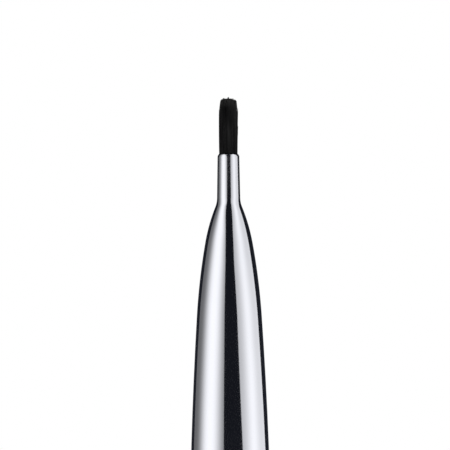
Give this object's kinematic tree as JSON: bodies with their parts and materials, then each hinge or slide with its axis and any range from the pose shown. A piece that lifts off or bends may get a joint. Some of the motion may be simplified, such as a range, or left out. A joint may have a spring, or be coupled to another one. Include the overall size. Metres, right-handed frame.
{
  "type": "makeup brush",
  "caption": "Slim makeup brush with a polished metal body that sweeps up into a narrow neck and a blunt round tuft, for fine colour work on lips and eyes.",
  "frame": {"origin": "centre of the flat base that the brush stands on", "axes": "+Z along the axis of the brush, from the base up to the tuft"},
  "size_m": [0.0118, 0.0118, 0.135],
  "materials": {
    "handle_metal": "polished",
    "ferrule_metal": "polished",
    "adhesive": "gloss",
    "bristles": "satin"
  },
  "bodies": {
    "root": {"handle": "handle_metal", "ferrule": "ferrule_metal", "adhesive_plug": "adhesive", "bristle_tuft": "bristles"}
  },
  "joints": []
}
